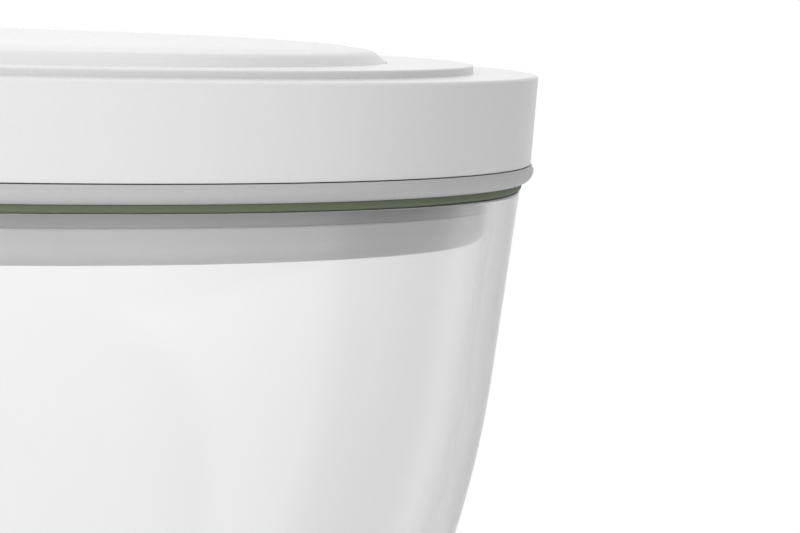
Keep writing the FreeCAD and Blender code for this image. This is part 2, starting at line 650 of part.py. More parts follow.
def make_valve_guard():
    # A small perforated cup under the tray that keeps food away from the inlet valve
    barb_foot = less(plug_foot, size("valve_lift"), size("running_gap"), size("barb_height"))
    inner_floor = less(barb_foot, size("guard_room"))
    foot = less(inner_floor, size("guard_floor"))
    inside = less(size("guard_radius"), size("guard_wall"))
    body = turned_body("valve_guard", [
        ("0", foot), (size("guard_radius"), foot), (size("guard_radius"), plug_foot),
        (inside, plug_foot), (inside, inner_floor), ("0", inner_floor),
    ])
    round_edges(body, size("guard_round"), [(size("guard_radius"), foot)], "lower_edge")
    hole = bore_holes(body, [(size("guard_hole_circle"), "0", size("guard_hole_radius"))], inner_floor,
                      total(size("guard_floor"), size("overrun")), "hole")
    repeat_around(body, hole, size("guard_hole_count"), "holes")
    body.setExpression("Placement.Base.x", valve_offset)
    return body


def make_release_button():
    # The round button in the dish of the dome, with a socket for its stem
    socket = total(size("stem_radius"), size("press_gap"))
    socket_top = total(button_boss_foot, size("socket_depth"))
    middle_top = less(dish_floor, size("button_hollow"))
    body = turned_body("release_button", [
        (socket, button_boss_foot), (size("button_boss_radius"), button_boss_foot),
        (size("button_boss_radius"), button_under), (size("button_radius"), button_under),
        (size("button_radius"), dish_floor), ("0", middle_top), ("0", socket_top),
        (socket, socket_top),
    ])
    round_edges(body, size("button_round"), [(size("button_radius"), dish_floor)], "edge")
    return body


def make_release_stem():
    top = less(total(button_boss_foot, size("socket_depth")), size("press_gap"))
    return turned_body("release_stem", [
        ("0", poppet_foot), (size("stem_radius"), poppet_foot), (size("stem_radius"), top), ("0", top),
    ])


def make_release_poppet():
    bore = total(size("stem_radius"), size("press_gap"))
    body = turned_body("release_poppet", [
        (bore, poppet_foot), (size("poppet_radius"), poppet_foot), (size("poppet_radius"), poppet_top),
        (bore, poppet_top),
    ])
    round_edges(body, size("poppet_round"), [(size("poppet_radius"), poppet_foot)], "lower_edge")
    return body


def make_release_seal():
    top = total(poppet_top, size("release_seal_height"))
    return turned_body("release_seal", [
        (size("release_seal_bore"), poppet_top), (size("release_seal_radius"), poppet_top),
        (size("release_seal_radius"), top), (size("release_seal_bore"), top),
    ])


def arc_edge(start, tangent_corner, end):
    # The arc between two points whose tangents meet at tangent_corner
    middle = (start + end) * 0.5
    half = (start - middle).Length
    rise = tangent_corner - middle
    sag = half * math.tan(math.atan2(rise.Length, half) / 2)
    return Part.Arc(start, middle + rise.normalize() * sag, end).toShape()


def biarc_edges(start, start_way, end, end_way):
    # Two arcs that leave start along start_way, meet smoothly and reach end along end_way
    gap = end - start
    ways = start_way + end_way
    bend = 2 * (1 - start_way.dot(end_way))
    along = gap.dot(ways)
    reach = (math.sqrt(along ** 2 + bend * gap.dot(gap)) - along) / bend
    first_corner = start + start_way * reach
    second_corner = end - end_way * reach
    meeting = (first_corner + second_corner) * 0.5
    return [arc_edge(start, first_corner, meeting), arc_edge(meeting, second_corner, end)]


def make_release_spring():
    # The coil under the release button, one unbroken wire on quarter-turn biarcs with straight ends
    radius, wire = value(size("spring_radius")), value(size("spring_wire"))
    end_room = value(total(size("spring_wire") + " / 2", size("seal_gap")))
    low, high = value(tower_top) + end_room, value(button_under) - end_room
    quarters = 4 * int(value(size("spring_turns")))
    climb = (high - low) / quarters
    level = FreeCAD.Vector(0, 0, 1)

    def spot(number):
        angle = number * math.pi / 2
        return FreeCAD.Vector(radius * math.cos(angle), radius * math.sin(angle), low + climb * number)

    def heading(number):
        angle = number * math.pi / 2
        run = radius * math.pi / 2
        way = FreeCAD.Vector(-run * math.sin(angle), run * math.cos(angle), 0) + level * climb
        return way.normalize()

    def end_heading(number):
        way = heading(number)
        return FreeCAD.Vector(way.x, way.y, 0).normalize()

    edges = []
    for number in range(quarters):
        leave = end_heading(number) if number == 0 else heading(number)
        arrive = end_heading(number + 1) if number == quarters - 1 else heading(number + 1)
        edges += biarc_edges(spot(number), leave, spot(number + 1), arrive)
    first = spot(0) - end_heading(0) * wire
    last = spot(quarters) + end_heading(quarters) * wire
    edges.insert(0, Part.LineSegment(first, spot(0)).toShape())
    edges.append(Part.LineSegment(spot(quarters), last).toShape())
    path = Part.Wire(edges)
    section = Part.Wire([Part.Circle(first, end_heading(0), wire / 2).toShape()])
    shell = Part.BRepOffsetAPI.MakePipeShell(path)
    shell.add(section, False, False)
    shell.build()
    shell.makeSolid()
    spring = doc.addObject("Part::Feature", "release_spring")
    spring.Label = "release_spring"
    spring.Shape = shell.shape()
    sub_parts.append(spring)
    points = path.discretize(Number=40 * quarters)
    apart = int(20 * quarters / (quarters / 4))
    least = min((points[one] - points[two]).Length for one in range(len(points))
                for two in range(one + apart, len(points))) - wire
    print(f"release_spring: least gap between turns {least:.2f} mm")
    return spring


make_jar()
make_inner_lid()
make_plug_tray()
make_lid_gasket()
make_glide_ring()
make_lid_cover()
make_top_dome()
make_pump_cylinder()
make_cylinder_seal()
make_screw_ring("cylinder_screws", cylinder_screw_circle, cylinder_flange_top,
                less(land_top, size("screw_reach")),
                total(cylinder_flange_top, size("screw_head_height")))
make_pump_piston()
make_piston_seal()
make_tower_seal()
make_follower_pins()
make_cam_sleeve()
make_screw_ring("cam_screws", sleeve_screw_circle, sleeve_flange_foot,
                less(total(ledge_top, size("boss_height")), size("boss_cap"), size("fit_gap")),
                less(sleeve_flange_foot, size("screw_head_height")))
make_valve("inlet_valve", floor_top, plug_foot, "x")
make_valve("exhaust_valve", plate_top, plate_foot, "y")
make_valve_guard()
make_release_button()
make_release_stem()
make_release_poppet()
make_release_seal()
make_release_spring()
doc.recompute()

for item in doc.Objects:
    if any(word in ("Invalid", "Error") for word in item.State):
        raise RuntimeError(f"{item.Label} failed: {item.State}")
for item in sub_parts:
    if item.Shape.isNull() or not item.Shape.isValid():
        raise RuntimeError(f"{item.Label} has no valid shape")

os.makedirs("parts", exist_ok=True)
for item in sub_parts:
    item.Shape.exportStep(f"parts/{item.Label}.step")
    box = item.Shape.BoundBox
    print(f"{item.Label}: {len(item.Shape.Solids)} solids, {item.Shape.Volume / 1000:.2f} cm3, "
          f"z {box.ZMin:.2f} to {box.ZMax:.2f}, r to {max(box.XMax, box.YMax):.2f}")
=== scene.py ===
# %% [markdown]
# # A vacuum canister in a white studio
# The solids of the canister come packed as a fixed frame: every piece is already in its place, in metres,
# and each belongs to a body that can move. This lesson dresses that frame. The round pieces that the eye
# meets first are turned again with far more sides than a solid needs, every piece gets a finish, and a
# bright studio and a camera close the scene.

# %% Load the frame
import json
import math
import bmesh
import bpy
from mathutils import Matrix, Vector


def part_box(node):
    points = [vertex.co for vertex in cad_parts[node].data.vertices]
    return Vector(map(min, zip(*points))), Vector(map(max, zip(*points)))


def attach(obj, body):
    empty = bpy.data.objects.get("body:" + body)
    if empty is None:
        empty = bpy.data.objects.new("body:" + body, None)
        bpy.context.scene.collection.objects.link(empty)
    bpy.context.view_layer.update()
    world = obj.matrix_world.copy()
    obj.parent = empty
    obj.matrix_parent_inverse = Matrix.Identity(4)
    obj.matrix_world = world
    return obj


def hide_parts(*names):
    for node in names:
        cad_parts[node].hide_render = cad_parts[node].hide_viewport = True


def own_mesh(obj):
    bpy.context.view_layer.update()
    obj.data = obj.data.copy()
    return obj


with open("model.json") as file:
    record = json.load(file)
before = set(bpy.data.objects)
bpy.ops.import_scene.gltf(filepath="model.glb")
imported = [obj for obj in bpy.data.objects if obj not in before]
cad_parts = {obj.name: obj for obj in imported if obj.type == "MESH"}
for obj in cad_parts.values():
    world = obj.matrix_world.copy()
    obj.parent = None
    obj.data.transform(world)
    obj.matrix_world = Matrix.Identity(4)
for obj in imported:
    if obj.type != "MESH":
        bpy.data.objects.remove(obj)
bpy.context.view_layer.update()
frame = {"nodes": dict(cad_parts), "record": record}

MM = 0.001
print("solids:", len(frame["nodes"]))

# %% [markdown]
# ## Helpers for colours and nodes
# Colours are written as sRGB hex, the way a colour picker shows them, but shaders count in linear light,
# so one function converts them. A second function adds a node to any tree with its settings and links:
# materials, the studio and Geometry Nodes are all trees, so the one function serves them all.

# %% Colours and nodes


def linear(hex_colour):
    shares = [int(hex_colour[i:i + 2], 16) / 255 for i in (1, 3, 5)]
    return tuple(c / 12.92 if c <= 0.04045 else ((c + 0.055) / 1.055) ** 2.4 for c in shares) + (1.0,)


def add_node(tree, kind, settings=None, inputs=None):
    node = tree.nodes.new(kind)
    for name, setting in (settings or {}).items():
        setattr(node, name, setting)
    for name, given in (inputs or {}).items():
        if isinstance(given, bpy.types.NodeSocket):
            tree.links.new(given, node.inputs[name])
        else:
            node.inputs[name].default_value = given
    return node


print("white in linear light:", linear("#ffffff")[:3])

# %% [markdown]
# ## Finishes
# Most of a canister is moulded plastic. What tells one plastic from another is its colour, how sharp its
# reflections are (roughness) and, for the jar, that light goes through it. A moulding is never quite even:
# the grain of the steel mould is printed on it. So each finish is one Principled shader with a noise of
# the grain's width behind it, which shifts tone and roughness a little and gives a bump of the grain's
# depth. A value that is the same all over the piece sits on the shader's own socket.

# %% A starting point for every finish


ROUGHNESS_SWING = 0.15
NOISE_LOW, NOISE_HIGH, NOISE_DETAIL = 0.3, 0.7, 2.0


def new_finish(name, colour, roughness, grain, depth, tone_swing, stretch=1.0):
    """grain, depth: width and height of the grain in mm; stretch: its upright length over its width"""
    material = bpy.data.materials.new(name)
    material.use_nodes = True
    tree = material.node_tree
    shader = tree.nodes["Principled BSDF"]
    place = add_node(tree, "ShaderNodeTexCoord")
    drawn_out = add_node(tree, "ShaderNodeMapping", inputs={
        "Vector": place.outputs["Object"], "Scale": (1, 1, 1 / stretch)})
    noise = add_node(tree, "ShaderNodeTexNoise", inputs={
        "Vector": drawn_out.outputs[0], "Scale": 1 / (grain * MM), "Detail": NOISE_DETAIL})
    uneven = add_node(tree, "ShaderNodeMapRange", inputs={
        "Value": noise.outputs[0], "From Min": NOISE_LOW, "From Max": NOISE_HIGH})
    darker, lighter = ([c * (1 + s) for c in linear(colour)[:3]] + [1] for s in (-tone_swing, tone_swing))
    # A Mix node has sockets for numbers, vectors and colours: 6 and 7 take colours, and output 2 gives one
    tone = add_node(tree, "ShaderNodeMix", {"data_type": "RGBA"}, {
        0: uneven.outputs["Result"], 6: darker, 7: lighter})
    dullness = add_node(tree, "ShaderNodeMapRange", inputs={
        "Value": uneven.outputs["Result"], "To Min": roughness * (1 - ROUGHNESS_SWING),
        "To Max": roughness * (1 + ROUGHNESS_SWING)})
    bump = add_node(tree, "ShaderNodeBump", inputs={"Height": noise.outputs[0], "Distance": depth * MM})
    tree.links.new(tone.outputs[2], shader.inputs["Base Color"])
    tree.links.new(dullness.outputs["Result"], shader.inputs["Roughness"])
    tree.links.new(bump.outputs["Normal"], shader.inputs["Normal"])
    return material, shader.inputs


print("roughness swings by", ROUGHNESS_SWING, "either way")

# %% [markdown]
# ### Clear jar
# The jar is injection-moulded copolyester: clear, polished and a little milky. It bends light as it should
# for its index, so the plug of the lid seems to end where the inside of the wall begins, and the wall
# itself shows as a grey strip beside it. A transmission weight just below one keeps a soft shading. The
# mould is polished, so the only unevenness is the broad, shallow waves that the flowing plastic leaves.

# %% Clear copolyester
FLOW_WAVE, FLOW_WAVE_DEPTH = 14.0, 0.004
clear_copolyester, sockets = new_finish(
    "clear_copolyester", "#fdfdfd", 0.06, grain=FLOW_WAVE, depth=FLOW_WAVE_DEPTH, tone_swing=0.004)
sockets["IOR"].default_value = 1.57
sockets["Transmission Weight"].default_value = 0.98
print("clear_copolyester: share of light let through", sockets["Transmission Weight"].default_value)

# %% [markdown]
# ### Coloured plastics and silicones
# The cap is white ABS with a satin mould finish, which gives broad, quiet reflections. The flange and
# the plug are grey polypropylene, duller. Silicone is duller still and shows almost no reflection.
# The pieces inside the pump are plain engineering plastics, and the screws and the spring are stainless
# steel. A spark-eroded mould has a grain of a few hundredths of a millimetre. That is too fine to show
# here, so the grain is drawn about ten times as coarse.

# %% Moulded plastics
# Satin and even: broad reflections, hardly any grain
white_abs, sockets = new_finish("white_satin_abs", "#e0e0e0", 0.22, grain=0.5, depth=0.004, tone_swing=0.008)
sockets["IOR"].default_value = 1.54
# Waxy and dull, with a fine grain
grey_polypropylene, sockets = new_finish(
    "grey_moulded_polypropylene", "#bcbcbc", 0.36, grain=0.4, depth=0.006, tone_swing=0.012)
sockets["IOR"].default_value = 1.49
pale_polypropylene, sockets = new_finish(
    "pale_grey_moulded_polypropylene", "#f2f2f2", 0.40, grain=0.4, depth=0.006, tone_swing=0.012)
sockets["IOR"].default_value = 1.49
# Slippery and smooth, for what slides
white_acetal, sockets = new_finish("white_acetal", "#e8e8e4", 0.35, grain=0.3, depth=0.003, tone_swing=0.012)
sockets["IOR"].default_value = 1.48
# Filled with glass fibre: slightly mottled and matt
pump_nylon, sockets = new_finish("dark_grey_nylon", "#8a8c8e", 0.45, grain=0.6, depth=0.01, tone_swing=0.05)
sockets["IOR"].default_value = 1.53
print("finishes so far:", len(bpy.data.materials))

# %% Silicones and steel
# Matt, with a soft dusty look
green_silicone, sockets = new_finish("green_silicone", "#646e5a", 0.55, grain=0.3, depth=0.008, tone_swing=0.04)
sockets["IOR"].default_value = 1.41
# The same without pigment: cloudy, and lets some light through
clear_silicone, sockets = new_finish(
    "translucent_silicone", "#dcdcd6", 0.45, grain=0.3, depth=0.008, tone_swing=0.02)
sockets["IOR"].default_value = 1.41
sockets["Transmission Weight"].default_value = 0.4
# Drawn through a die, so its fine lines run lengthwise
stainless_steel, sockets = new_finish(
    "drawn_stainless_steel", "#b9b9b7", 0.28, grain=0.12, depth=0.002, tone_swing=0.06, stretch=20.0)
sockets["Metallic"].default_value = 1.0
print("finishes:", len(bpy.data.materials))

# %% [markdown]
# ## Finishes for the solids that stay
# Every solid that is not turned again keeps its own mesh, so it only needs a finish. The record says which
# material slot each solid takes, so one table from slot to finish dresses them all.

# %% Dress the solids
FINISH_OF_SLOT = {
    "clear_plastic": clear_copolyester, "white_plastic": white_abs, "grey_plastic": grey_polypropylene,
    "pale_grey_plastic": pale_polypropylene, "green_silicone": green_silicone,
    "clear_silicone": clear_silicone, "acetal": white_acetal, "pump_plastic": pump_nylon,
    "steel": stainless_steel,
}
slot_of_node = {part["node"]: part["material_slot"] for part in frame["record"]["subparts"]}
for node_name, node_object in frame["nodes"].items():
    node_object.data.materials.clear()
    node_object.data.materials.append(FINISH_OF_SLOT[slot_of_node[node_name]])
print("dressed:", len(slot_of_node), "solids")

# %% [markdown]
# ## Turned pieces
# Jar, cap, flange and button are all turned shapes: one outline swept once around the upright axis. The
# Screw modifier could do it, but a Geometry Nodes tree shows how it works: a flat grid has one row for
# each step around and one column for each point of the outline, and every point of the grid moves to
# its place. Merging what meets closes the seam and the poles. Edges of moulded parts are never sharp, so
# the outline rounds every corner, and two extra points beside each round keep the flat faces flat.

# %% An outline with rounded corners
STEP_AROUND_ROUND = math.radians(12)
SMALL_ROUND = 0.12


def rounded_outline(corners):
    """corners: (radius, height) or (radius, height, round) in mm, in order around a closed outline"""
    points = []
    for number, corner in enumerate(corners):
        here = Vector(corner[:2])
        back = Vector(corners[number - 1][:2]) - here
        ahead = Vector(corners[(number + 1) % len(corners)][:2]) - here
        corner_round = corner[2] if len(corner) > 2 else SMALL_ROUND
        if here.x == 0 or corner_round == 0:
            points.append(here)
            continue
        half = back.angle(ahead) / 2
        reach = corner_round / math.tan(half)
        middle = here + (back.normalized() + ahead.normalized()).normalized() * (corner_round / math.sin(half))
        start = here + back.normalized() * reach - middle
        swing = math.pi - 2 * half
        if (here - middle).cross(start) > 0:
            swing = -swing
        steps = max(4, math.ceil(abs(swing) / STEP_AROUND_ROUND))
        points.append(here + back.normalized() * (reach + SMALL_ROUND / 4))
        points += [middle + Matrix.Rotation(swing * i / steps, 2) @ start for i in range(steps + 1)]
        points.append(here + ahead.normalized() * (reach + SMALL_ROUND / 4))
    return points


square = rounded_outline([(10, 0), (20, 0), (20, 5), (10, 5)])
print("a square outline has", len(square), "points with its corners rounded")

# %% The lathe tree
MERGE_DISTANCE = 1e-6
lathe = bpy.data.node_groups.new("Lathe", "GeometryNodeTree")
lathe.interface.new_socket("Outline", in_out="INPUT", socket_type="NodeSocketGeometry")
steps_socket = lathe.interface.new_socket("Steps Around", in_out="INPUT", socket_type="NodeSocketInt")
finish_socket = lathe.interface.new_socket("Finish", in_out="INPUT", socket_type="NodeSocketMaterial")
lathe.interface.new_socket("Turned", in_out="OUTPUT", socket_type="NodeSocketGeometry")
given = add_node(lathe, "NodeGroupInput").outputs
count = add_node(lathe, "GeometryNodeAttributeDomainSize", inputs={"Geometry": given["Outline"]})
rows = add_node(lathe, "ShaderNodeMath", {"operation": "ADD"}, {0: given["Steps Around"], 1: 1.0})
grid = add_node(lathe, "GeometryNodeMeshGrid", inputs={
    "Vertices X": rows.outputs[0], "Vertices Y": count.outputs["Point Count"]})
index = add_node(lathe, "GeometryNodeInputIndex")
column = add_node(lathe, "ShaderNodeMath", {"operation": "MODULO"}, {
    0: index.outputs[0], 1: count.outputs["Point Count"]})
ratio = add_node(lathe, "ShaderNodeMath", {"operation": "DIVIDE"}, {
    0: index.outputs[0], 1: count.outputs["Point Count"]})
row = add_node(lathe, "ShaderNodeMath", {"operation": "FLOOR"}, {0: ratio.outputs[0]})
share = add_node(lathe, "ShaderNodeMath", {"operation": "DIVIDE"}, {
    0: row.outputs[0], 1: given["Steps Around"]})
angle = add_node(lathe, "ShaderNodeMath", {"operation": "MULTIPLY"}, {0: share.outputs[0], 1: math.tau})
position = add_node(lathe, "GeometryNodeInputPosition")
point = add_node(lathe, "GeometryNodeSampleIndex", {"data_type": "FLOAT_VECTOR", "domain": "POINT"}, {
    "Geometry": given["Outline"], "Value": position.outputs[0], "Index": column.outputs[0]})
swept = add_node(lathe, "ShaderNodeVectorRotate", {"rotation_type": "Z_AXIS"}, {
    "Vector": point.outputs["Value"], "Angle": angle.outputs[0]})
placed = add_node(lathe, "GeometryNodeSetPosition", inputs={
    "Geometry": grid.outputs["Mesh"], "Position": swept.outputs[0]})
closed = add_node(lathe, "GeometryNodeMergeByDistance", inputs={
    "Geometry": placed.outputs[0], "Distance": MERGE_DISTANCE})
smooth = add_node(lathe, "GeometryNodeSetShadeSmooth", inputs={"Geometry": closed.outputs[0]})
real = add_node(lathe, "GeometryNodeRealizeInstances", inputs={"Geometry": smooth.outputs[0]})
finished = add_node(lathe, "GeometryNodeSetMaterial", inputs={
    "Geometry": real.outputs[0], "Material": given["Finish"]})
add_node(lathe, "NodeGroupOutput", inputs={"Turned": finished.outputs[0]})
print("lathe tree:", len(lathe.nodes), "nodes")

# %% From a tree to a piece of the canister


def mesh_from_tree(node_tree, start_mesh, settings):
    """Runs a Geometry Nodes tree on a mesh, with settings by socket identifier, and returns a plain mesh."""
    holder = bpy.data.objects.new(start_mesh.name, start_mesh)
    bpy.context.scene.collection.objects.link(holder)
    modifier = holder.modifiers.new(node_tree.name, "NODES")
    modifier.node_group = node_tree
    for identifier, setting in settings.items():
        modifier[identifier] = setting
    evaluated = holder.evaluated_get(bpy.context.evaluated_depsgraph_get())
    mesh = bpy.data.meshes.new_from_object(evaluated)
    holder.modifiers.clear()
    bpy.data.objects.remove(holder)
    return mesh


def add_piece(name, mesh, node_name, body):
    """Stands a mesh in for the solid of the same shape."""
    piece = bpy.data.objects.new(name, mesh)
    bpy.context.scene.collection.objects.link(piece)
    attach(piece, body)
    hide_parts(node_name)
    return piece


def box_mm(node_name):
    low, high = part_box(node_name)
    return low / MM, high / MM


print("jar in mm:", [round(v, 2) for corner in box_mm("jar") for v in corner])

# %% Turn an outline into a piece
STEPS_AROUND = 256


def turned_piece(name, outline, node_name, body):
    """outline: points in mm, a closed loop or a line from the axis to the axis"""
    loop = outline if outline[0].x == 0 and outline[-1].x == 0 else outline + outline[:1]
    profile = bpy.data.meshes.new(name + "_outline")
    profile.from_pydata(
        [(p.x * MM, 0, p.y * MM) for p in loop], [(i, i + 1) for i in range(len(loop) - 1)], [])
    mesh = mesh_from_tree(lathe, profile, {
        steps_socket.identifier: STEPS_AROUND,
        finish_socket.identifier: FINISH_OF_SLOT[slot_of_node[node_name]]})
    working = bmesh.new()
    working.from_mesh(mesh)
    bmesh.ops.recalc_face_normals(working, faces=working.faces)
    working.to_mesh(mesh)
    open_edges = sum(not edge.is_manifold for edge in working.edges)
    working.free()
    add_piece(name, mesh, node_name, body)
    print(f"{name}: {len(mesh.polygons)} faces, {open_edges} open edges")


# %% [markdown]
# ## The jar
# Below its mouth the jar is a straight taper that passes into a long side arc and a round corner. The
# wall has one thickness all the way, so the inner outline is the outer one set in by the wall: the
# straight stays parallel and each arc keeps its centre and loses the wall from its radius.

# %% Turn the jar
jar_low, jar_high = box_mm("jar")
JAR_WALL, JAR_LIP_ROUND = 3.3, 0.15
TAPER_HEIGHT, TAPER_RUN = 23.4, 2.75
SIDE_RADIUS, CORNER_RADIUS = 130.0, 16.0
BASE_THICKNESS, FOOT_RECESS_RADIUS, FOOT_RECESS = 3.0, 39.5, 0.8
STEPS_ALONG_SIDE, STEPS_ALONG_CORNER = 40, 20
tilt = math.atan2(TAPER_RUN, TAPER_HEIGHT)
taper_end = Vector((jar_high.x - TAPER_RUN, jar_high.z - TAPER_HEIGHT))
side_middle = taper_end - Vector((math.cos(tilt), -math.sin(tilt))) * SIDE_RADIUS


def arc(middle, radius, start, end, steps):
    turns = [start + (end - start) * i / steps for i in range(steps + 1)]
    return [middle + Vector((math.cos(a), math.sin(a))) * radius for a in turns]


def side_of_jar(side_radius, corner_radius, foot):
    reach = side_radius - corner_radius
    lowest = math.asin((side_middle.y - foot - corner_radius) / reach)
    corner_middle = side_middle + Vector((math.cos(lowest), -math.sin(lowest))) * reach
    corner = arc(corner_middle, corner_radius, -math.pi / 2, -lowest, STEPS_ALONG_CORNER)
    return corner + arc(side_middle, side_radius, -lowest, -tilt, STEPS_ALONG_SIDE)[1:]


outer_side = side_of_jar(SIDE_RADIUS, CORNER_RADIUS, jar_low.z)
inner_side = side_of_jar(SIDE_RADIUS - JAR_WALL, CORNER_RADIUS - JAR_WALL, BASE_THICKNESS)
inner_mouth = jar_high.x - JAR_WALL / math.cos(tilt)
lip = rounded_outline([
    (taper_end.x, taper_end.y, 0), (jar_high.x, jar_high.z, JAR_LIP_ROUND),
    (inner_mouth, jar_high.z, JAR_LIP_ROUND), (inner_side[-1].x, inner_side[-1].y, 0)])[1:-1]
foot = rounded_outline([
    (0, FOOT_RECESS), (FOOT_RECESS_RADIUS, FOOT_RECESS), (FOOT_RECESS_RADIUS, jar_low.z),
    (outer_side[0].x, jar_low.z, 0)])[:-1]
jar_outline = foot + outer_side + lip + inner_side[::-1] + [Vector((0, BASE_THICKNESS))]
turned_piece("clear_jar", jar_outline, "jar", "jar")

# %% [markdown]
# ## The flange and its gasket
# The grey inner lid shows as a rounded flange under the cap, with a green silicone ring squeezed
# between it and the jar. Its neck goes down into the mouth, and an upstand inside the cap carries a
# hook that holds the two together. Sizes are those of the solid; heights come from the frame.

# %% Turn the inner lid
lid_low, lid_high = box_mm("inner_lid")
gasket_low, gasket_high = box_mm("lid_gasket")
NECK_RADIUS, NECK_WALL, SPIGOT_RADIUS, SPIGOT_LENGTH = 74.0, 3.6, 72.2, 1.5
FLANGE_THICKNESS, FLANGE_UNDER_ROUND = 2.25, 1.6
FLANGE_EDGE_RUN, FLANGE_BAND, FLANGE_BEVEL = 0.2, 0.4, 0.12
UPSTAND_RADIUS, UPSTAND_WALL = 75.4, 1.8
HOOK_WIDTH, HOOK_HEIGHT, HOOK_DROP = 1.2, 1.0, 1.8
flange_foot = gasket_high.z
flange_top = flange_foot + FLANGE_THICKNESS
neck_inside = NECK_RADIUS - NECK_WALL
neck_foot = lid_low.z + SPIGOT_LENGTH
hook_top = lid_high.z - HOOK_DROP
turned_piece("flange_and_neck", rounded_outline([
    (neck_inside, lid_low.z), (SPIGOT_RADIUS, lid_low.z), (SPIGOT_RADIUS, neck_foot),
    (NECK_RADIUS, neck_foot), (NECK_RADIUS, flange_foot),
    (lid_high.x, flange_foot, FLANGE_UNDER_ROUND), (lid_high.x, flange_top - FLANGE_BAND - FLANGE_BEVEL),
    (lid_high.x - FLANGE_BEVEL, flange_top - FLANGE_BAND),
    (lid_high.x - FLANGE_EDGE_RUN, flange_top), (UPSTAND_RADIUS, flange_top),
    (UPSTAND_RADIUS, hook_top - HOOK_HEIGHT),
    (UPSTAND_RADIUS + HOOK_WIDTH, hook_top - HOOK_HEIGHT), (UPSTAND_RADIUS + HOOK_WIDTH, hook_top),
    (UPSTAND_RADIUS, hook_top), (UPSTAND_RADIUS, lid_high.z), (UPSTAND_RADIUS - UPSTAND_WALL, lid_high.z),
    (UPSTAND_RADIUS - UPSTAND_WALL, flange_top), (neck_inside, flange_top)]), "inner_lid", "lid")

# %% Turn the gasket
GASKET_BORE, GASKET_ROUND = 74.1, 0.5
turned_piece("green_gasket", rounded_outline([
    (GASKET_BORE, gasket_low.z), (gasket_high.x, gasket_low.z, GASKET_ROUND),
    (gasket_high.x, gasket_high.z), (GASKET_BORE, gasket_high.z)]), "lid_gasket", "lid")

# %% [markdown]
# ## The cap
# The white cap is one moulding: a skirt that narrows a little towards its foot so that it leaves the
# mould, a flat rim, and a low step around the recess for the raised disc. Inside the skirt a catch runs
# under the hook of the flange, so that the cap turns but does not lift off. The foot of the skirt ends in
# a fine lip, which leaves only a hairline of shadow above the flange.

# %% Turn the cap
cover_low, cover_high = box_mm("lid_cover")
dome_low, dome_high = box_mm("top_dome")
RIM_RADIUS, SKIRT_DRAFT, COVER_WALL, RIM_ROUND = 80.0, 0.6, 2.2, 0.5
STEP_RADIUS, STEP_HEIGHT, STEP_ROUND, SEAT_GAP = 71.8, 1.0, 0.3, 0.15
CATCH_WIDTH, CATCH_HEIGHT, RUNNING_GAP, LEDGE_BORE = 1.3, 1.0, 0.3, 48.8
LIP_REACH, LIP_HEIGHT, LIP_RUN, LIP_ROUND = 0.08, 0.5, 0.06, 0.06
skirt_radius = RIM_RADIUS - SKIRT_DRAFT
skirt_inside = skirt_radius - COVER_WALL
skirt_foot = cover_low.z - LIP_REACH
rim = cover_high.z - STEP_HEIGHT
cover_under = rim - COVER_WALL
catch_top = hook_top - HOOK_HEIGHT - RUNNING_GAP
seat_radius = dome_high.x + SEAT_GAP
turned_piece("white_cap", rounded_outline([
    (skirt_inside, skirt_foot), (skirt_radius - LIP_RUN, skirt_foot, LIP_ROUND),
    (skirt_radius, skirt_foot + LIP_HEIGHT), (RIM_RADIUS, rim, RIM_ROUND),
    (STEP_RADIUS, rim), (STEP_RADIUS, cover_high.z, STEP_ROUND), (seat_radius, cover_high.z),
    (seat_radius, dome_low.z), (LEDGE_BORE, dome_low.z), (LEDGE_BORE, cover_under),
    (skirt_inside, cover_under), (skirt_inside, catch_top), (skirt_inside - CATCH_WIDTH, catch_top),
    (skirt_inside - CATCH_WIDTH, catch_top - CATCH_HEIGHT), (skirt_inside, catch_top - CATCH_HEIGHT)]),
    "lid_cover", "cap")

# %% [markdown]
# ## The raised disc and the button
# A bevelled disc fills the recess of the cap. Its crown rises so gently that only the reflections show
# it, and it dips into a shallow dish around the button, whose face is hollowed for a fingertip.

# %% Turn the raised disc
CHAMFER_RUN, CHAMFER_RISE, CHAMFER_ROUND = 1.7, 1.4, 2.5
SHOULDER_RUN, SHOULDER_RISE, SHOULDER_ROUND = 5.0, 0.6, 40.0
BUTTON_GAP, DISH_WIDTH, DISH_DEPTH, DISH_ROUND = 0.5, 3.0, 0.7, 3.0
DOME_WALL, COLLAR_WALL, COLLAR_LENGTH = 2.0, 1.6, 1.8
button_low, button_high = box_mm("release_button")
button_hole = button_high.x + BUTTON_GAP
chamfer_edge, chamfer_top = dome_high.x - CHAMFER_RUN, cover_high.z + CHAMFER_RISE
dome_under = chamfer_top - DOME_WALL
turned_piece("raised_disc", rounded_outline([
    (dome_high.x, dome_low.z), (dome_high.x, cover_high.z), (chamfer_edge, chamfer_top, CHAMFER_ROUND),
    (chamfer_edge - SHOULDER_RUN, chamfer_top + SHOULDER_RISE, SHOULDER_ROUND),
    (button_hole + DISH_WIDTH, dome_high.z, DISH_ROUND), (button_hole, dome_high.z - DISH_DEPTH),
    (button_hole, dome_under - COLLAR_LENGTH), (button_hole + COLLAR_WALL, dome_under - COLLAR_LENGTH),
    (button_hole + COLLAR_WALL, dome_under), (dome_high.x - DOME_WALL, dome_under),
    (dome_high.x - DOME_WALL, dome_low.z)]), "top_dome", "cap")

